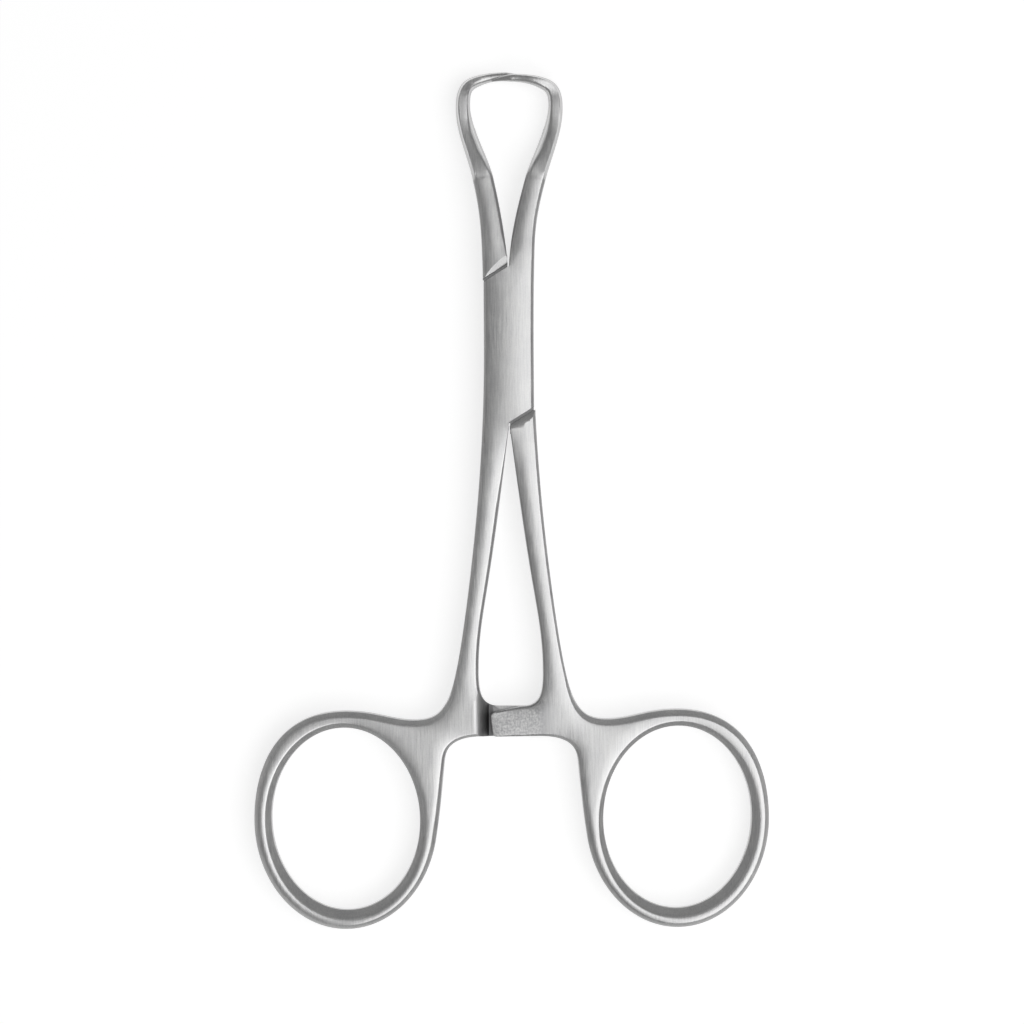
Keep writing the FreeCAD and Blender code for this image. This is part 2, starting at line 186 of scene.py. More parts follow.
def shank_and_arm_outline(arm_slant):
    """The window side of the shank, and the ratchet arm round to its underside."""
    low, arm_top = -LOCK_BELOW_PIVOT, -RATCHET_DROP
    arm_low = arm_top - RATCHET_HEIGHT
    wall = -WINDOW_HALF_WIDTH

    def down(share):
        return mixed(low, arm_top, share)

    window = spline([(-CROTCH_GAP / 2, low), (0.32 * wall, down(0.29)), (0.74 * wall, down(0.61)),
                     (wall, down(0.76)), (wall, down(0.88))])
    corner = spline([(wall, down(0.88)), (wall, arm_top + 1.5), (0.9 * wall, arm_top), (0.36 * wall, arm_top)])
    end = ARM_PAST_MIDDLE
    top = spline([corner[-1], (0.1 * end, arm_top - 0.4 * arm_slant), (0.5 * end, arm_top - 0.8 * arm_slant),
                  (end - 0.7, arm_top - arm_slant)])
    nose = spline([top[-1], (end - 0.2, arm_top - arm_slant - 0.05), (end, arm_top - arm_slant - 0.35),
                   (end - 0.1, arm_top - arm_slant - 0.9)])
    end_low = (end - 0.35, arm_low + 0.35)
    toe = spline([end_low, (end - 0.4, arm_low + 0.1), (end - 0.6, arm_low), (end - 1.0, arm_low)])
    return [(window[:26], 0.1, 1.0, IN), (window[25:], 1.0, 1.0, IN), (corner, 1.0, 0.8, IN), (top, 0.8, 0.25, IN),
            (nose, 0.25, 0.15, IN), (straight(nose[-1], end_low), 0.15, 0.15, IN), (toe, 0.15, 0.25, OUT),
            (straight(toe[-1], (0.9 * wall, arm_low)), 0.25, 0.9, OUT)]


def ring_outline():
    """The outside of the finger ring, from under the ratchet arm round to the dip beside the shank."""
    x, y = -RING_OFFSET, -RING_DROP
    half_width = HOLE_WIDTH / 2 + RING_SIDE_WALL
    turns = np.linspace(-math.pi / 2, math.pi / 2 - HANDLE_FOOT, 150)
    below = ring_oval(HOLE_HEIGHT + 2 * RING_LOW_WALL, 2 * half_width, 0.0, turns)
    foot = below[-1]
    leaving = foot + (below[-1] - below[-2]) / np.linalg.norm(below[-1] - below[-2]) * 2.6
    arm_low = -RATCHET_DROP - RATCHET_HEIGHT
    root = -0.9 * WINDOW_HALF_WIDTH

    def between(share_across, share_down):
        return mixed(root, foot[0], share_across), mixed(arm_low, foot[1], share_down)

    handle = spline([(root, arm_low), between(0.36, 0.0), between(0.775, 0.08), between(0.815, 0.27),
                     between(0.875, 0.55), leaving, foot])
    inner, outer, top = x + half_width, x - half_width, y + HOLE_HEIGHT / 2 + RING_TOP_WALL
    shoulder = spline([(outer, y), (outer, mixed(y, top, 0.44)), (outer + 2.5, top), (x, top)])
    dip = (inner - 1.2 * RING_SIDE_WALL, top - SADDLE_DEPTH)
    crest = spline([(x, top), (mixed(x, dip[0], 0.45), top), (mixed(x, dip[0], 0.66), dip[1]), dip])
    return [(handle, 0.9, 1.4, OUT), (below[::-1], 1.4, 1.4, OUT), (shoulder, 1.4, 2.1, OUT), (crest, 2.1, 2.0, OUT)]


def flank_outline(dip):
    """The outside of the shank, from the dip beside the ring up to the middle of the lock."""
    low, arm_top = -LOCK_BELOW_PIVOT, -RATCHET_DROP
    waist = -WINDOW_HALF_WIDTH - SHANK_WAIST_WIDTH
    foot = waist - 0.75

    def down(share):
        return mixed(low, arm_top, share)

    flank = spline([dip, (mixed(dip[0], foot, 0.44), dip[1]), (mixed(dip[0], foot, 0.78), dip[1] + 1.7),
                    (foot, arm_top + 3.2), (waist + 0.47, down(0.72)), (-SHANK_TOP_WIDTH - 0.95, down(0.4)),
                    (-SHANK_TOP_WIDTH, down(0.1)), (-LOCK_HALF_WIDTH, low / 2), (-LOCK_HALF_WIDTH, 0)])
    third = len(flank) // 3
    return [(flank[:third], 2.0, 0.8, OUT), (flank[third - 1:], 0.8, 1.0, OUT)]


def jaw_line(rise):
    """The middle of the jaw beyond its kink, with its width, thickness and place in front of the mid-plane."""
    along = np.array([math.sin(KINK_LEAN), math.cos(KINK_LEAN)])
    kink, height = np.array([KINK_OFFSET, KINK_HEIGHT]), POINT_HEIGHT + rise
    x, y = BEND_OFFSET, BEND_HEIGHT
    leg = 0.33 * (BEND_HEIGHT - KINK_HEIGHT)
    outwards = spline([kink, kink + along * leg, (x, y - leg), (x, y)], 0.2)
    inwards = spline([(x, y), (x, mixed(y, height, 0.57)), (0.77 * x, height - 0.6), (0.33 * x, height + 0.05),
                      (-0.25 * POINT_REACH, height + 0.15), (-POINT_REACH, height - 0.3)], 0.12)
    return outwards, inwards


def shares_along(points):
    """Each point's share of the way along its line."""
    way = np.concatenate([[0], np.cumsum(np.linalg.norm(np.diff(points, axis=0), axis=1))])
    return way / way[-1]


def smooth_step(share):
    """Eases from 0 to 1 with no corner at either end."""
    share = np.clip(share, 0, 1)
    return share * share * (3 - 2 * share)


def jaw_stations(rise):
    """Places along the jaw beyond its kink: point, half width, half thickness, forward shift, how far the forging has
    become the filed jaw, how far the jaw has run out into a round point, and how wide its inner rim is filed."""
    outwards, inwards = jaw_line(rise)
    out, back = shares_along(outwards)[:-1], shares_along(inwards)
    taper = smooth_step(back / POINT_START)
    sharpened = np.maximum(back - POINT_START, 0) / (1 - POINT_START)
    width = np.concatenate([mixed(KINK_WIDTH, BEND_WIDTH, out),
                            mixed(mixed(BEND_WIDTH, POINT_WIDTH, taper), POINT_END, sharpened)])
    thickness = np.concatenate([mixed(KINK_THICKNESS, BEND_THICKNESS, smooth_step(out / 0.85)),
                                mixed(mixed(BEND_THICKNESS, POINT_WIDTH, taper), POINT_END, sharpened)])
    forward = np.concatenate([np.zeros(len(out)),
                              smooth_step((back - 0.12) / 0.45) * (thickness[len(out):] + POINT_CLEARANCE) / 2])
    roundness = np.concatenate([np.minimum(0.2 + out / 0.12, 1), np.ones(len(back))])
    tip = np.concatenate([np.zeros(len(out)), np.clip((back - 0.35) / 0.4, 0, 1)])
    rim = np.concatenate([mixed(RIM_WIDTH, INNER_RIM_WIDTH, np.sin(math.pi * out) ** 2),
                          np.full(len(back), RIM_WIDTH)])
    return np.concatenate([outwards[:-1], inwards]), width / 2, thickness / 2, forward, roundness, tip, rim


def jaw_outline(stations):
    """The inside of the jaw from the crotch to its point, and its outside back down to the lock."""
    top, inner = LOCK_ABOVE_PIVOT, CROTCH_GAP / 2
    points, half_width = stations[0], stations[1]
    tangent = np.gradient(points, axis=0)
    tangent /= np.linalg.norm(tangent, axis=1)[:, None]
    across = np.stack([tangent[:, 1], -tangent[:, 0]], axis=1)
    inside, outside = points - across * half_width[:, None], points + across * half_width[:, None]
    along = np.array([math.sin(KINK_LEAN), math.cos(KINK_LEAN)])
    leg = 0.4 * (KINK_HEIGHT - top)
    below_inside = spline([(inner, top), (inner + 0.25, top + 0.9 * leg), inside[0] - along * leg, inside[0]])
    below_outside = spline([outside[0], outside[0] - along * leg, (LOCK_HALF_WIDTH + 0.15, top + 0.4 * leg),
                            (LOCK_HALF_WIDTH, top / 2), (LOCK_HALF_WIDTH, 0)])
    scale = np.minimum(half_width / (KINK_WIDTH / 2), 1)
    return [(below_inside[:20], 0.1, 1.0, IN), (below_inside[19:], 1.0, 1.0, IN), (inside, scale, None, IN),
            (outside[::-1], scale[::-1], None, OUT), (below_outside, 1.0, 1.0, OUT)]


def joined(pieces):
    """One closed outline from pieces that meet, how wide the edge is drawn at each point, and which side the run
    that ends at each point lies on."""
    points, scales, sides = [], [], []
    for line, first, last, side in pieces:
        scale = np.linspace(first, last, len(line)) if last is not None else first
        for point, value in zip(line, scale):
            if points and math.dist(point, points[-1]) < 0.02:
                continue
            points.append(point)
            scales.append(value)
            sides.append(side)
    if math.dist(points[0], points[-1]) < 0.02:
        points.pop(0)
        scales.pop(0)
        sides.pop(0)
    return np.array(points), np.array(scales), np.array(sides)


def half_outline(stations, arm_slant):
    low, top, side, crotch = -LOCK_BELOW_PIVOT, LOCK_ABOVE_PIVOT, LOCK_HALF_WIDTH, CROTCH_GAP / 2
    above = top + 1.2
    ring = ring_outline()
    pieces = shank_and_arm_outline(arm_slant) + ring + flank_outline(tuple(ring[-1][0][-1]))
    cut_away = [(-side, above), (-crotch, above), (-crotch, top), (crotch, top)]
    pieces += [(straight((-side, 0), (-side, above)), 1.0, 1.0, OUT)]
    pieces += [(straight(start, end), 0.05, 0.05, CUT) for start, end in zip(cut_away, cut_away[1:])]
    pieces += jaw_outline(stations)
    pieces += [(straight((side, 0), (side, low)), 1.0, 1.0, OUT)]
    pieces += [(straight((side, low), (-crotch, low)), 0.05, 0.05, CUT)]
    return joined(pieces)


# Surfaces of the forging

def eased(y, at, values):
    """Values read off between stations along the forging, with their corners blended over 4 mm."""
    return sum(np.interp(y + step, at, values) for step in np.linspace(-2, 2, 9)) / 9


def half_thickness(y):
    """Half the thickness of the forging, from the rings up to the kink of the jaw."""
    low, top = -LOCK_BELOW_PIVOT, LOCK_ABOVE_PIVOT
    at = [-RING_DROP - HOLE_HEIGHT, -RING_DROP, -RATCHET_DROP, mixed(low, -RATCHET_DROP, 0.46), low - 4, low + 1,
          top - 1, top + 1, KINK_HEIGHT]
    thick = [RING_THICKNESS, RING_THICKNESS, SHANK_THICKNESS, SHANK_THICKNESS, LOCK_THICKNESS, LOCK_THICKNESS,
             LOCK_THICKNESS, LOCK_THICKNESS, KINK_THICKNESS]
    return eased(y, at, thick) / 2


def crown(y):
    """How wide and how high the crowned face is beyond the edge, along the forging."""
    at = [-80, -58, -52, -47, -42, -34, -24, -16, -11, -8, 8, 11, 16, 20, 40]
    wide = [0.55, 0.6, 1.6, 1.7, 1.2, 0.8, 0.95, 1.35, 2.0, 2.7, 2.7, 2.0, 1.15, 0.95, 0.8]
    high = [0.06, 0.06, 0.10, 0.10, 0.09, 0.07, 0.08, 0.12, 0.17, 0.22, 0.22, 0.16, 0.10, 0.08, 0.06]
    return eased(y, at, wide), eased(y, at, high)


def drop_from_face(gap, scale, y):
    """How far the front lies below its highest level at a distance from an edge: slope, then crowned face."""
    wide, high = crown(y)
    high = high * np.clip(1.6 * scale, 0, 1)
    width = SLOPE_WIDTH * scale
    slope = (width - gap) * (SLOPE_RISE / SLOPE_WIDTH) + high
    face = high * np.maximum(1 - (gap - width) / wide, 0) ** 2
    face = np.where(gap < width, high + 2 * high / wide * (width - gap), face)
    return (slope + face + np.sqrt((slope - face) ** 2 + (EDGE_SOFTNESS * np.minimum(scale, 1.2)) ** 2)) / 2


def rim_drop(gap, width, softness):
    """How far the rim filed along a jaw lies below its flat, at a distance from the edge."""
    into = (width - gap) / width
    into = (into + np.sqrt(into ** 2 + softness ** 2)) / 2
    return (1.25 + 0.25 * into) * into * width


def quarter_round(share):
    """Height of a quarter circle of radius one, at a share of the way in from its side."""
    return np.sqrt(1 - (1 - np.clip(share, 0, 1)) ** 2)


def nearest(points, runs):
    """For each point, its distance to the nearest of some straight runs, and how wide the edge is drawn there."""
    start, end, first, last = runs
    run = end - start
    length2 = np.maximum((run ** 2).sum(1), 1e-12)
    found, scale = np.full(len(points), 1e3), np.ones(len(points))
    for i in range(0, len(points) if len(start) else 0, 400):
        p = points[i:i + 400, None, :]
        share = np.clip(((p - start) * run).sum(2) / length2, 0, 1)
        gap = ((p - start - share[..., None] * run) ** 2).sum(2)
        best = gap.argmin(1)
        rows = np.arange(len(best))
        found[i:i + 400] = np.sqrt(gap[rows, best])
        scale[i:i + 400] = (first + (last - first) * share)[rows, best]
    return found, scale


def inward(line):
    """The direction square to a closed line at each of its points, to the left of its run."""
    run = np.roll(line, -1, axis=0) - np.roll(line, 1, axis=0)
    run /= np.maximum(np.linalg.norm(run, axis=1), 1e-9)[:, None]
    return np.stack([-run[:, 1], run[:, 0]], axis=1)


def signed_area(line):
    x, y = line[:, 0], line[:, 1]
    return ((x * np.roll(y, -1) - np.roll(x, -1) * y).sum()) / 2


def inside(points, line):
    """Which points lie inside a closed line."""
    x, y = points[:, 0][:, None], points[:, 1][:, None]
    ax, ay = line[:, 0], line[:, 1]
    bx, by = np.roll(ax, -1), np.roll(ay, -1)
    crosses = (ay > y) != (by > y)
    at = ax + (y - ay) * (bx - ax) / np.where(by == ay, 1e-12, by - ay)
    return ((crosses & (x < at)).sum(1) % 2).astype(bool)


def forging(rise, arm_slant):
    """One half before its lock is cut: left ring and shank, rear ratchet arm, and right jaw."""
    stations = jaw_stations(rise)
    outline, scales, sides = half_outline(stations, arm_slant)
    ends = [(outline, np.roll(outline, 1, axis=0), scales, np.roll(scales, 1), sides)]
    if signed_area(outline) < 0:
        outline, scales = outline[::-1], scales[::-1]
    turns = np.linspace(2 * math.pi, 0, 260)[:-1]
    hole = ring_oval(HOLE_HEIGHT, HOLE_WIDTH, HOLE_LEAN, turns)
    lip = 2.1 + 0.6 * np.cos(turns) - 0.35 * np.sin(turns) + 0.2 * np.cos(2 * turns)
    ends.append((hole, np.roll(hole, 1, axis=0), lip, np.roll(lip, 1), np.full(len(hole), HOLE)))
    runs = [np.concatenate(part) for part in zip(*ends)]
    groups = [[part[runs[4] == side] for part in runs[:4]] for side in (IN, OUT, HOLE, CUT)]
    edges = [(outline, scales), (hole, lip)]
    both = np.concatenate([outline, hole])

    def gaps(points):
        """Distances to the edges of each group, and how wide those edges are drawn."""
        found = [nearest(points, group) for group in groups]
        return np.stack([gap for gap, _ in found], 1), np.stack([scale for _, scale in found], 1)

    layers, distances, widths = [both], [gaps(both)[0]], [gaps(both)[1]]
    for inset in INSETS:
        for line, weight in edges:
            moved = line + inward(line) * (inset * weight)[:, None]
            step = 1 if inset < 1 else 2
            moved, own = moved[::step], weight[::step]
            within = inside(moved, outline) & ~inside(moved, hole)
            moved, own = moved[within], own[within]
            gap, scale = gaps(moved)
            kept = gap.min(1) > inset * own * 0.96
            layers.append(moved[kept])
            distances.append(gap[kept])
            widths.append(scale[kept])
    grid = np.stack(np.meshgrid(np.arange(-34, 8, 0.55), np.arange(-76, 37, 0.55)), axis=-1).reshape(-1, 2)
    grid = grid[inside(grid, outline) & ~inside(grid, hole)]
    gap, scale = gaps(grid)
    kept = gap.min(1) > INSETS[-1] * 1.1
    layers.append(grid[kept])
    distances.append(gap[kept])
    widths.append(scale[kept])
    points, gap, scale = np.concatenate(layers), np.concatenate(distances), np.concatenate(widths)

    count, around = len(both), len(outline)
    loops = [(i, (i + 1) % around) for i in range(around)]
    loops += [(around + i, around + (i + 1) % len(hole)) for i in range(len(hole))]
    found = delaunay_2d_cdt([Vector(p) for p in points], loops, [], 0, 1e-7)
    places = np.array([tuple(v) for v in found[0]])
    origin = np.array([o[0] if o else 0 for o in found[3]])
    gap, scale = gap[origin], scale[origin]
    edge_point = np.array([0 <= o < count for o in origin])
    triangles = np.array(found[2])
    middles = places[triangles].mean(1)
    flat = edge_point[triangles].all(1)
    triangles = triangles[inside(middles, outline) & ~inside(middles, hole) & ~flat]

    half = half_thickness(places[:, 1])
    forward = np.zeros(len(places))
    drop = sum(drop_from_face(gap[:, side], scale[:, side], places[:, 1]) for side in (IN, OUT, HOLE))
    wall = quarter_round((gap[:, :CUT] / (WALL_ROUND * np.minimum(scale[:, :CUT], 1))).min(1))
    line, wide, thick, shift, roundness, tip, rim = stations
    beyond = places[:, 1] > KINK_HEIGHT - 2
    off_line = np.linalg.norm(places[beyond][:, None, :] - line[None], axis=2)
    near, closest = off_line.argmin(1), off_line.min(1)
    along = np.array([math.sin(KINK_LEAN), math.cos(KINK_LEAN)])
    past = (places[beyond] - np.array([KINK_OFFSET, KINK_HEIGHT])) @ along > 0
    round_height = thick[near] * quarter_round(1 - closest / wide[near])
    filed = thick[near] - rim_drop(gap[beyond, IN], np.minimum(rim[near], 0.7 * wide[near]), INNER_RIM_SOFTNESS)
    filed -= rim_drop(gap[beyond, OUT], np.minimum(RIM_WIDTH, 0.45 * wide[near]), RIM_SOFTNESS)
    jaw_height = mixed(filed * wall[beyond], round_height, tip[near])
    indices = np.nonzero(beyond)[0][past]
    half[indices] = thick[near][past]
    height = (half - np.minimum(drop, 0.8 * half)) * wall
    height[indices] = mixed(height[indices], jaw_height[past], roundness[near][past])
    forward[indices] = shift[near][past]
    height[edge_point] = 0

    front = np.column_stack([places, forward + height])
    rear = np.column_stack([places, forward - height])
    number = np.arange(len(places))
    rear_number = np.where(edge_point, number, number + len(places))
    vertices = np.concatenate([front, rear])
    faces = np.concatenate([triangles, rear_number[triangles][:, ::-1]])
    mesh = bpy.data.meshes.new("forging")
    used = np.unique(faces)
    renumber = np.full(len(vertices), -1)
    renumber[used] = np.arange(len(used))
    mesh.from_pydata((vertices[used] * MM).tolist(), [], renumber[faces].tolist())
    # Painted highlight: a lighter tone drawn along the edge where the slope turns over into the face
    from_edge = (gap[:, :CUT] - SLOPE_WIDTH * scale[:, :CUT]) / 0.07
    painted_edge_highlight = np.exp(-from_edge ** 2).max(1) * (scale[:, :CUT].min(1) > 0.3)
    mesh.attributes.new("painted_edge_highlight", "FLOAT", "POINT").data.foreach_set("value", np.concatenate([painted_edge_highlight, painted_edge_highlight])[used])
    mesh.validate()
    return mesh


def piece(name, mesh):
    thing = bpy.data.objects.new(name, mesh)
    bpy.context.scene.collection.objects.link(thing)
    return thing


def turned_over(mesh):
    """The same mesh turned over about Y, as the tongue half lies."""
    co = np.empty(len(mesh.vertices) * 3)
    mesh.vertices.foreach_get("co", co)
    co = co.reshape(-1, 3) * [-1, 1, -1]
    mesh.vertices.foreach_set("co", co.ravel())
    return mesh


def cut(thing, tool, operation="DIFFERENCE"):
    """Cuts a solid with another, which is used up."""
    modifier = thing.modifiers.new("cut", "BOOLEAN")
    modifier.operation = operation
    modifier.solver = "MANIFOLD"
    modifier.object = tool
    bpy.context.view_layer.update()
    mesh = bpy.data.meshes.new_from_object(thing.evaluated_get(bpy.context.evaluated_depsgraph_get()))
    thing.modifiers.clear()
    thing.data = mesh
    bpy.data.objects.remove(tool)


def cheek_end(x, gap=0.0):
    """The height at which the upper end of the cheeks crosses the lock."""
    return CHEEK_REACH + x * math.tan(SHOULDER_SLOPE) + gap / math.cos(SHOULDER_SLOPE)


def half_turned(points):
    return [(-x, -y) for x, y in points]


def loft(name, lower, upper):
    """A solid between two outlines in space with the same number of points, in millimetres."""
    made = bmesh.new()
    rings = [[made.verts.new(Vector(point) * MM) for point in outline] for outline in (lower, upper)]
    made.faces.new(rings[0])
    made.faces.new(rings[1][::-1])
    for i in range(len(lower)):
        j = (i + 1) % len(lower)
        made.faces.new((rings[0][j], rings[0][i], rings[1][i], rings[1][j]))
    bmesh.ops.recalc_face_normals(made, faces=made.faces)
    mesh = bpy.data.meshes.new(name)
    made.to_mesh(mesh)
    made.free()
    return piece(name, mesh)


def bar(name, profile, start, end):
    """A solid bar: a profile in X and Z drawn out along Y."""
    return loft(name, [(x, start, z) for x, z in profile], [(x, end, z) for x, z in profile])


def block(name, outline, low, high):
    """A solid over an outline in plan, from one height to another."""
    return loft(name, [(x, y, low) for x, y in outline], [(x, y, high) for x, y in outline])


def turned_pin(name, profile, around=96):
    """A turned pin about the pivot from a profile of radius and height."""
    made = bmesh.new()
    rings = []
    for radius, z in profile:
        turns = [2 * math.pi * i / around for i in range(around)]
        rings.append([made.verts.new((radius * math.cos(t) * MM, radius * math.sin(t) * MM, z * MM)) for t in turns])
    for lower, upper in zip(rings, rings[1:]):
        for i in range(around):
            j = (i + 1) % around
            made.faces.new((lower[i], lower[j], upper[j], upper[i]))
    made.faces.new(rings[0][::-1])
    made.faces.new(rings[-1])
    bmesh.ops.recalc_face_normals(made, faces=made.faces)
    mesh = bpy.data.meshes.new(name)
    made.to_mesh(mesh)
    made.free()
    return piece(name, mesh)


def tooth_gaps():
    """The gaps between the saw teeth: one filed wedge, repeated along an arc about the pivot."""
    crest, root = -TOOTH_CLEARANCE / 2, -TOOTH_CLEARANCE / 2 - TOOTH_DEPTH
    land = 0.05
    profile = [(land, crest + 0.3), (land, crest), (TOOTH_PITCH, root), (TOOTH_PITCH, crest + 0.3)]
    wedge = bar("tooth_gaps", profile, -RATCHET_HEIGHT, RATCHET_HEIGHT / 2 - TEETH_STOP_SHORT)

    tree = bpy.data.node_groups.new("row_of_teeth", "GeometryNodeTree")
    tree.interface.new_socket("Wedge", in_out="INPUT", socket_type="NodeSocketGeometry")
    sizes = {"Teeth": ("NodeSocketInt", TOOTH_COUNT), "Pitch": ("NodeSocketFloat", TOOTH_PITCH * MM),
             "Radius": ("NodeSocketFloat", (RATCHET_DROP + RATCHET_HEIGHT / 2) * MM)}
    sockets = {key: tree.interface.new_socket(key, in_out="INPUT", socket_type=kind)
               for key, (kind, _) in sizes.items()}
    tree.interface.new_socket("Gaps", in_out="OUTPUT", socket_type="NodeSocketGeometry")

    def add(kind, settings=(), **links):
        made = tree.nodes.new(kind)
        for key, value in dict(settings).items():
            setattr(made, key, value)
        for key, value in links.items():
            socket = made.inputs[int(key[1:])]
            if isinstance(value, bpy.types.NodeSocket):
                tree.links.new(value, socket)
            else:
                socket.default_value = value
        return made

    given = tree.nodes.new("NodeGroupInput").outputs
    line = add("GeometryNodeMeshLine", i0=given["Teeth"]).outputs[0]
    index = add("GeometryNodeInputIndex").outputs[0]
    half = add("ShaderNodeMath", {"operation": "MULTIPLY"}, i0=given["Teeth"], i1=0.5).outputs[0]
    step = add("ShaderNodeMath", {"operation": "SUBTRACT"}, i0=index, i1=half).outputs[0]
    way = add("ShaderNodeMath", {"operation": "MULTIPLY"}, i0=step, i1=given["Pitch"]).outputs[0]
    angle = add("ShaderNodeMath", {"operation": "DIVIDE"}, i0=way, i1=given["Radius"]).outputs[0]
    sine = add("ShaderNodeMath", {"operation": "SINE"}, i0=angle).outputs[0]
    cosine = add("ShaderNodeMath", {"operation": "COSINE"}, i0=angle).outputs[0]
    across = add("ShaderNodeMath", {"operation": "MULTIPLY"}, i0=sine, i1=given["Radius"]).outputs[0]
    down = add("ShaderNodeMath", {"operation": "MULTIPLY"}, i0=cosine, i1=given["Radius"]).outputs[0]
    below = add("ShaderNodeMath", {"operation": "MULTIPLY"}, i0=down, i1=-1.0).outputs[0]
    place = add("ShaderNodeCombineXYZ", i0=across, i1=below).outputs[0]
    points = add("GeometryNodeSetPosition", i0=line, i2=place).outputs[0]
    turn = add("ShaderNodeCombineXYZ", i2=angle).outputs[0]
    row = add("GeometryNodeInstanceOnPoints", i0=points, i2=given["Wedge"], i5=turn).outputs[0]
    real = add("GeometryNodeRealizeInstances", i0=row).outputs[0]
    finished = add("GeometryNodeSetMaterial", i0=real).outputs[0]
    tree.links.new(finished, tree.nodes.new("NodeGroupOutput").inputs[0])

    modifier = wedge.modifiers.new("row_of_teeth", "NODES")
    modifier.node_group = tree
    for key, (_, value) in sizes.items():
        modifier[sockets[key].identifier] = value
    bpy.context.view_layer.update()
    mesh = bpy.data.meshes.new_from_object(wedge.evaluated_get(bpy.context.evaluated_depsgraph_get()))
    wedge.modifiers.clear()
    wedge.data = mesh
    return wedge


def grind_ratchet(half):
    """Grinds away the front of the ratchet arm: first the ramp and the flat, then the gaps between the teeth."""
    crest, face = -TOOTH_CLEARANCE / 2, SHANK_THICKNESS / 2
    top, front = 2.4 - RATCHET_DROP, LOCK_THICKNESS
    foot, ramp_top, far = -RAMP_FOOT, -RAMP_FOOT - RAMP_LENGTH, 2 * ARM_PAST_MIDDLE
    low = top - RATCHET_HEIGHT - 3.4
    ramp = [(mixed(ramp_top, foot, t), mixed(face - 0.1, crest, t ** 1.8)) for t in np.linspace(0, 1, 15)]
    profile = [(ramp_top, front)] + ramp + [(far, crest), (far, front)]
    space = bar("ratchet_space", profile, low, top)
    plan = [(ramp_top, low), (ramp_top, top - 1.9), (ramp_top + 0.9, top), (far, top), (far, low)]
    cut(space, block("ratchet_plan", plan, 2 * crest - TOOTH_DEPTH, front), "INTERSECT")
    cut(half, space)
    cut(half, tooth_gaps())


def grind_shoulder(half, end, at_crotch, at_side):
    """Files a slanted flat on front and rear of a shoulder of the tongue half, wider at one of its ends."""
    face = LOCK_THICKNESS / 2
    for front in (1, -1):
        sections = []
        for x, share in ((-CROTCH_GAP / 2, at_crotch), (-LOCK_HALF_WIDTH - 0.2, at_side)):
            length, low = BEVEL_LENGTH * share / math.cos(SHOULDER_SLOPE), face - BEVEL_DEPTH * share
            y = cheek_end(x, SHOULDER_GAP)
            profile = [(y, low), (y + length, face), (y + length, 2 * face), (y - 1, 2 * face), (y - 1, low)]
            sections.append([(end * x, end * along, front * z) for along, z in profile])
        cut(half, loft("shoulder", *sections))


half_lock = LOCK_THICKNESS / 2
reach = 2 * LOCK_HALF_WIDTH
crotch = CROTCH_GAP / 2

box = piece("box_half_finished", forging(-POINT_STEP / 2, REAR_ARM_SLANT))
pin_profile = [(RIVET_HEAD_RADIUS, -half_lock - 0.3), (RIVET_HEAD_RADIUS, -half_lock + 0.1),
               (RIVET_RADIUS, -half_lock + RIVET_HEAD_DEPTH), (RIVET_RADIUS, half_lock - RIVET_HEAD_DEPTH),
               (RIVET_HEAD_RADIUS, half_lock - 0.1), (RIVET_HEAD_RADIUS, half_lock + 0.3)]
rivet = turned_pin("pivot_rivet_finished", pin_profile)
cut(rivet, piece("flush", box.data.copy()), "INTERSECT")

grind_ratchet(box)
beyond_cheek = [(-reach, cheek_end(-reach)), (crotch, cheek_end(crotch)), (crotch, 2 * reach), (-reach, 2 * reach)]
for points in (beyond_cheek, half_turned(beyond_cheek)):
    cut(box, block("beyond_cheek", points, -LOCK_THICKNESS, LOCK_THICKNESS))
facing = math.pi + OPEN_ANGLE
stop = LOCK_HALF_WIDTH + WEB_CLEARANCE
web = TONGUE_ARM + WEB_CLEARANCE
half_slot = TONGUE_THICKNESS / 2 + TONGUE_CLEARANCE


def stop_face(x):
    """The face of the web that the tongue meets when the clamp is fully open."""
    return (stop - x * math.cos(facing)) / math.sin(facing)


slot_end = CHEEK_REACH + 2
slot_plan = [(-reach, stop_face(-reach)), (-web, stop_face(-web)), (-web, -slot_end), (reach, -slot_end),
             (reach, -stop_face(-reach)), (web, -stop_face(-web)), (web, slot_end), (-reach, slot_end)]
cut(box, block("slot", slot_plan, -half_slot, half_slot))
cut(box, turned_pin("rivet_hole", pin_profile))

tongue_piece = piece("tongue_half_finished", forging(POINT_STEP / 2, FRONT_ARM_SLANT))
grind_ratchet(tongue_piece)
turned_over(tongue_piece.data)
lock_space = [(-reach, cheek_end(-reach, SHOULDER_GAP)), (-crotch, cheek_end(-crotch, SHOULDER_GAP)),
              (-crotch, 2 * reach), (reach, 2 * reach)]
cut(tongue_piece, block("lock_space", lock_space + half_turned(lock_space), -LOCK_THICKNESS, LOCK_THICKNESS))
grind_shoulder(tongue_piece, 1, 0.95, 0.35)
grind_shoulder(tongue_piece, -1, 0.3, 0.9)
hub = LOCK_HALF_WIDTH - WEB_CLEARANCE / 2
root = CHEEK_REACH + 1.5
arm = [(-hub, 0), (TONGUE_ARM, 0), (TONGUE_ARM, cheek_end(TONGUE_ARM) - WEB_CLEARANCE), (-CROTCH_GAP, cheek_end(0)),
       (-CROTCH_GAP, root), (-hub, root)]
tongue = turned_pin("tongue", [(hub, -TONGUE_THICKNESS / 2), (hub, TONGUE_THICKNESS / 2)])
for points in (arm, half_turned(arm)):
    cut(tongue, block("tongue_arm", points, -TONGUE_THICKNESS / 2, TONGUE_THICKNESS / 2), "UNION")
cut(tongue_piece, tongue, "UNION")
bore = RIVET_RADIUS + RIVET_CLEARANCE
cut(tongue_piece, turned_pin("bore", [(bore, -half_lock), (bore, half_lock)]))


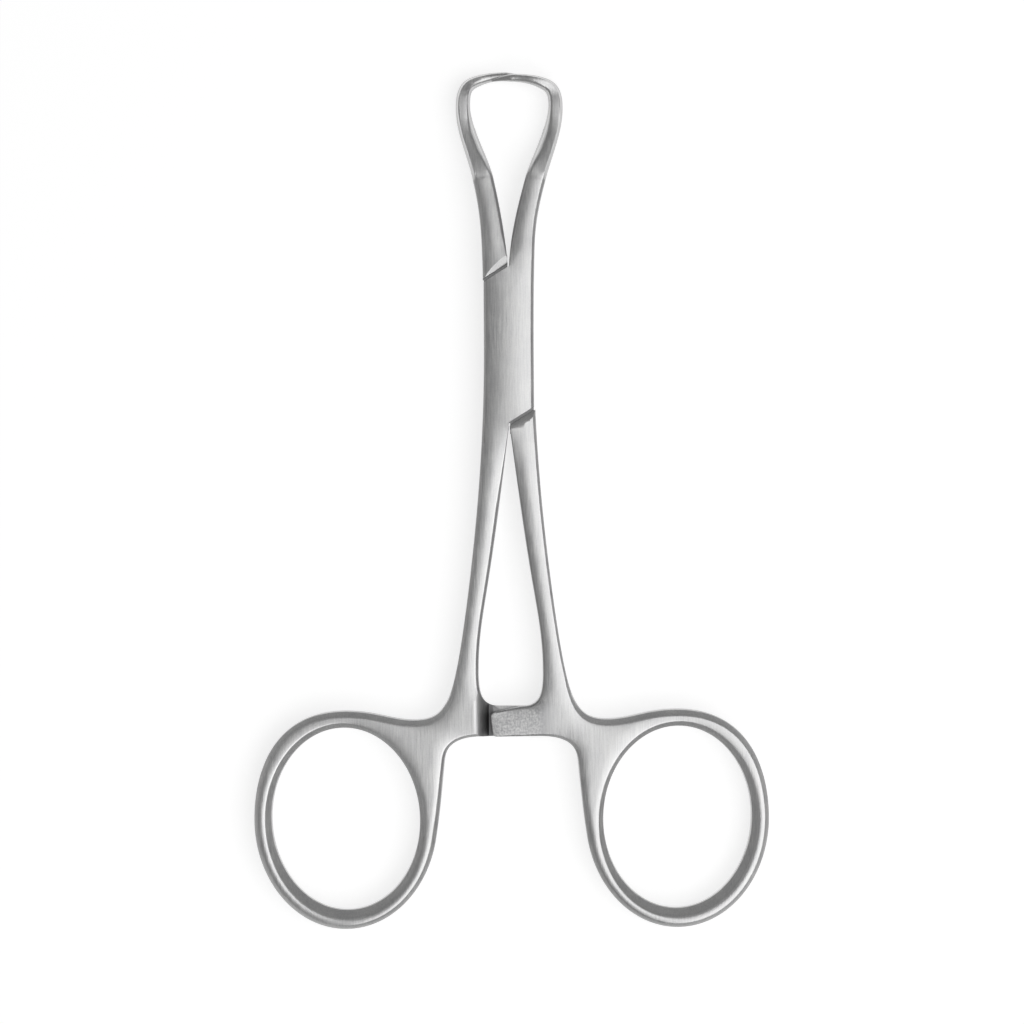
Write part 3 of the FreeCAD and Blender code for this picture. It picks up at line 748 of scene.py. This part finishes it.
def marked(thing, turned):
    """Writes on the mesh where shade is painted darker and the steel is rougher, and where it is pebbled."""
    mesh = thing.data
    count = len(mesh.vertices)
    co = np.empty(count * 3)
    mesh.vertices.foreach_get("co", co)
    co = co.reshape(-1, 3) / MM
    corners, sizes = np.empty(len(mesh.loops), int), np.empty(len(mesh.polygons), int)
    mesh.loops.foreach_get("vertex_index", corners)
    mesh.polygons.foreach_get("loop_total", sizes)
    middles, normals = np.empty(len(sizes) * 3), np.empty(len(sizes) * 3)
    mesh.polygons.foreach_get("center", middles)
    mesh.polygons.foreach_get("normal", normals)
    middle = np.repeat(middles.reshape(-1, 3) / MM, sizes, axis=0)
    normal = np.repeat(normals.reshape(-1, 3), sizes, axis=0)
    x, y, z = (co[corners] * [turned, 1, turned]).T

    # Painted shade: faces inside the lock's slot and faces square to the shoulder slope are drawn darker, and rougher,
    # where shade falls in the gap
    within = (np.abs(middle[:, 0]) < LOCK_HALF_WIDTH - 0.02) & (np.abs(middle[:, 1]) < CHEEK_REACH + 3.2)
    in_slot = np.abs(middle[:, 2]) < half_slot + 0.02
    square = np.abs(normal[:, 1] * math.cos(SHOULDER_SLOPE) - normal[:, 0] * math.sin(SHOULDER_SLOPE)) > 0.95
    painted_shade_and_roughness = np.where(within & (in_slot & (np.abs(normal[:, 2]) > 0.9) | square), 0.5, 0.0)

    crest, face = -TOOTH_CLEARANCE / 2, SHANK_THICKNESS / 2
    middle, normal = middle * [turned, 1, turned], normal * [turned, 1, turned]
    in_arm = (middle[:, 1] > -RATCHET_DROP - RATCHET_HEIGHT - 0.1) & (middle[:, 1] < 2.4 - RATCHET_DROP)
    level = (np.abs(normal[:, 1]) < 0.3) & (middle[:, 2] < face - 0.02) & (middle[:, 2] > crest - TOOTH_DEPTH - 0.02)
    on_ramp = in_arm & level & (normal[:, 2] > 0.2) & (middle[:, 0] > -RAMP_FOOT - RAMP_LENGTH)
    on_ramp &= middle[:, 0] < 2 * ARM_PAST_MIDDLE
    # Painted shade: the ground ramp of the ratchet arm is drawn darker towards its foot, where the arm beside it shades
    # it, and rougher
    down_ramp = np.clip((x + RAMP_FOOT + RAMP_LENGTH) / RAMP_LENGTH, 0, 1)
    shaded = np.clip((-1.9 - x) / 0.5, 0.25, 1)
    painted_shade_and_roughness = np.where(on_ramp, mixed(0.0, 0.8, down_ramp) * shaded, painted_shade_and_roughness)

    attribute = mesh.attributes.new("painted_shade_and_roughness", "FLOAT", "CORNER")
    attribute.data.foreach_set("value", painted_shade_and_roughness)
    beside_arm = np.abs(co[:, 1] + RATCHET_DROP + RATCHET_HEIGHT / 2) < 2.6
    along_arm = np.clip((co[:, 0] * turned + 5.8) / 2.5, 0, 1)
    pebbled = along_arm * beside_arm * (co[:, 2] * turned < 0) * (turned < 0)
    attribute = mesh.attributes.new("pebbled", "FLOAT", "POINT")
    attribute.data.foreach_set("value", pebbled)


finished = ((box, "box_half", "box", 1), (tongue_piece, "tongue_half", "tongue", -1), (rivet, "pivot_rivet", "box", 1))
for thing, part, body, turned in finished:
    marked(thing, turned)
    mesh = thing.data
    for vertex in mesh.vertices:
        vertex.co.x += JAW_LEAN * MM * smooth_step((vertex.co.y / MM - LOCK_ABOVE_PIVOT - 3) / 12)
    mesh.transform(Matrix.Translation((0, 0, half_lock * MM)))
    mesh.shade_smooth()
    mesh.set_sharp_from_angle(angle=math.radians(28))
    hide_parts(part)
    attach(thing, body)


# Materials

def colour(text):
    """An sRGB hex colour as the linear values that the shaders take."""
    parts = [int(text[i:i + 2], 16) / 255 for i in (1, 3, 5)]
    return tuple(c / 12.92 if c <= 0.04045 else ((c + 0.055) / 1.055) ** 2.4 for c in parts) + (1.0,)


def node(material, kind, settings=(), **links):
    """Adds a node, sets its settings, and links or sets its inputs by name."""
    made = material.node_tree.nodes.new(kind)
    for key, value in dict(settings).items():
        setattr(made, key, value)
    for key, value in links.items():
        numbered = key[0] == "i" and key[1:].isdigit()
        socket = made.inputs[int(key[1:]) if numbered else key.replace("_", " ")]
        if isinstance(value, bpy.types.NodeSocket):
            material.node_tree.links.new(value, socket)
        else:
            socket.default_value = value
    return made


def brushed_steel():
    """Satin stainless steel: fine strokes along the clamp, a soft grain between them, slow changes of tone, a painted
    highlight along the edges, painted shade with a rougher finish in the lock's slot and on the ratchet ramp, and the
    pebbled face of the front ratchet arm.

    The real strokes are some hundredths of a millimetre wide. Drawn so fine they would vanish at this size, so the
    pattern is about 0.1 mm across and 3 mm long.
    """
    material = bpy.data.materials.new("satin_brushed_stainless_steel")
    material.use_nodes = True
    material.node_tree.nodes.clear()

    def noise(where, scale, detail=2.0):
        return node(material, "ShaderNodeTexNoise", Vector=where, Scale=scale, Detail=detail).outputs["Fac"]

    def product(first, second):
        return node(material, "ShaderNodeMath", {"operation": "MULTIPLY"}, i0=first, i1=second).outputs[0]

    def sum_of(value, weight, rest):
        return node(material, "ShaderNodeMath", {"operation": "MULTIPLY_ADD"}, i0=value, i1=weight, i2=rest).outputs[0]

    def spread(value, low, high, start=0.0, end=1.0):
        return node(material, "ShaderNodeMapRange", Value=value, i1=low, i2=high, i3=start, i4=end).outputs[0]

    def blend(share, first, second):
        made = node(material, "ShaderNodeMix", {"data_type": "RGBA"}, i0=share)
        for value, socket in ((first, made.inputs[6]), (second, made.inputs[7])):
            if isinstance(value, bpy.types.NodeSocket):
                material.node_tree.links.new(value, socket)
            else:
                socket.default_value = value
        return made.outputs[2]

    where = node(material, "ShaderNodeTexCoord").outputs["Object"]
    along = node(material, "ShaderNodeMapping", Vector=where, Scale=(6500, 330, 6500)).outputs[0]
    grain, strokes, cloud = noise(where, 5200.0), noise(along, 1.0), noise(where, 420.0)
    marks = sum_of(grain, 0.45, strokes)
    tone = sum_of(cloud, 0.5, marks)
    pebbled = node(material, "ShaderNodeAttribute", {"attribute_name": "pebbled"}).outputs["Fac"]
    pebbles = product(noise(where, 3900.0, 4.0), pebbled)
    satin = blend(spread(tone, 0.65, 1.3), colour("#bababb"), colour("#d4d4d3"))
    speckled = blend(spread(pebbles, 0.3, 0.7), colour("#9b9b9d"), colour("#c8c8c7"))
    satin = blend(pebbled, satin, speckled)
    # Painted highlight: the steel is drawn lighter, towards #efefef, along the edges where the slope meets the face
    painted_edge_highlight = node(material, "ShaderNodeAttribute", {"attribute_name": "painted_edge_highlight"}).outputs["Fac"]
    satin = blend(product(painted_edge_highlight, spread(tone, 0.65, 1.3, 0.35, 0.9)), satin, colour("#efefef"))
    # Painted shade: where the mask is set the colour is drawn towards dark #58585a, and the steel is also rougher
    painted_shade_and_roughness = node(material, "ShaderNodeAttribute", {"attribute_name": "painted_shade_and_roughness"}).outputs["Fac"]
    tones = blend(painted_shade_and_roughness, satin, colour("#58585a"))
    gloss = sum_of(painted_shade_and_roughness, 0.15, spread(tone, 0.65, 1.3, 0.30, 0.38))
    relief = sum_of(pebbles, 0.8, marks)
    bump = node(material, "ShaderNodeBump", Height=relief, Strength=0.16, Distance=0.00005).outputs[0]
    steel = node(material, "ShaderNodeBsdfPrincipled", Base_Color=tones, Metallic=1.0, Roughness=gloss, Normal=bump)
    node(material, "ShaderNodeOutputMaterial", Surface=steel.outputs[0])
    return material


steel = brushed_steel()
for thing in (box, tongue_piece, rivet):
    thing.data.materials.clear()
    thing.data.materials.append(steel)

# Floor, lights and camera

floor_mesh = bpy.data.meshes.new("floor")
floor_mesh.from_pydata([(-3, -3, 0), (3, -3, 0), (3, 3, 0), (-3, 3, 0)], [], [(0, 1, 2, 3)])
floor = piece("floor", floor_mesh)


def white_paper():
    """The white sweep that the clamp lies on, lifted to full white where it is looked at, with its shadow kept."""
    material = bpy.data.materials.new("white_paper_sweep")
    material.use_nodes = True
    material.node_tree.nodes.clear()
    paper = node(material, "ShaderNodeBsdfDiffuse", Color=colour("#c2c2c2")).outputs[0]
    ray = node(material, "ShaderNodeLightPath").outputs
    seen = node(material, "ShaderNodeMath", {"operation": "MAXIMUM"}, i0=ray["Is Camera Ray"], i1=ray["Is Glossy Ray"])
    seen = node(material, "ShaderNodeMath", {"operation": "MAXIMUM"}, i0=seen.outputs[0],
                i1=ray["Is Transmission Ray"])
    lift = node(material, "ShaderNodeMath", {"operation": "MULTIPLY"}, i0=seen.outputs[0], i1=FLOOR_LIFT)
    glow = node(material, "ShaderNodeEmission", Strength=lift.outputs[0])
    both = node(material, "ShaderNodeAddShader", i0=paper, i1=glow.outputs[0])
    node(material, "ShaderNodeOutputMaterial", Surface=both.outputs[0])
    return material


floor_mesh.materials.append(white_paper())

bpy.context.scene.view_settings.view_transform = "Standard"
world = bpy.data.worlds.new("studio")
bpy.context.scene.world = world
world.use_nodes = True
world.node_tree.nodes["Background"].inputs[0].default_value = (1, 1, 1, 1)
world.node_tree.nodes["Background"].inputs[1].default_value = SKY_BRIGHTNESS


def softbox(name, corner, far_corner, height, brightness):
    """A soft lamp that hangs level over the table, between two corners in plan, with its own brightness."""
    data = bpy.data.lights.new(name, "AREA")
    data.shape = "RECTANGLE"
    data.size, data.size_y = far_corner[0] - corner[0], far_corner[1] - corner[1]
    data.energy = brightness * math.pi * data.size * data.size_y
    thing = bpy.data.objects.new(name, data)
    thing.location = (corner[0] + data.size / 2, corner[1] + data.size_y / 2, height)
    bpy.context.scene.collection.objects.link(thing)


softbox("large_softbox", (-0.01, -0.95), (1.0, 0.17), 0.8, SOFTBOX_BRIGHTNESS)

camera_data = bpy.data.cameras.new("camera")
camera = bpy.data.objects.new("camera", camera_data)
bpy.context.scene.collection.objects.link(camera)
bpy.context.scene.camera = camera
camera_data.lens = camera_data.sensor_width * CAMERA_DISTANCE / VIEW_WIDTH
camera.location = (0.000284, -0.021535, CAMERA_DISTANCE + half_lock * MM)
camera.rotation_euler = (0, 0, math.radians(-0.35))

bpy.context.view_layer.update()
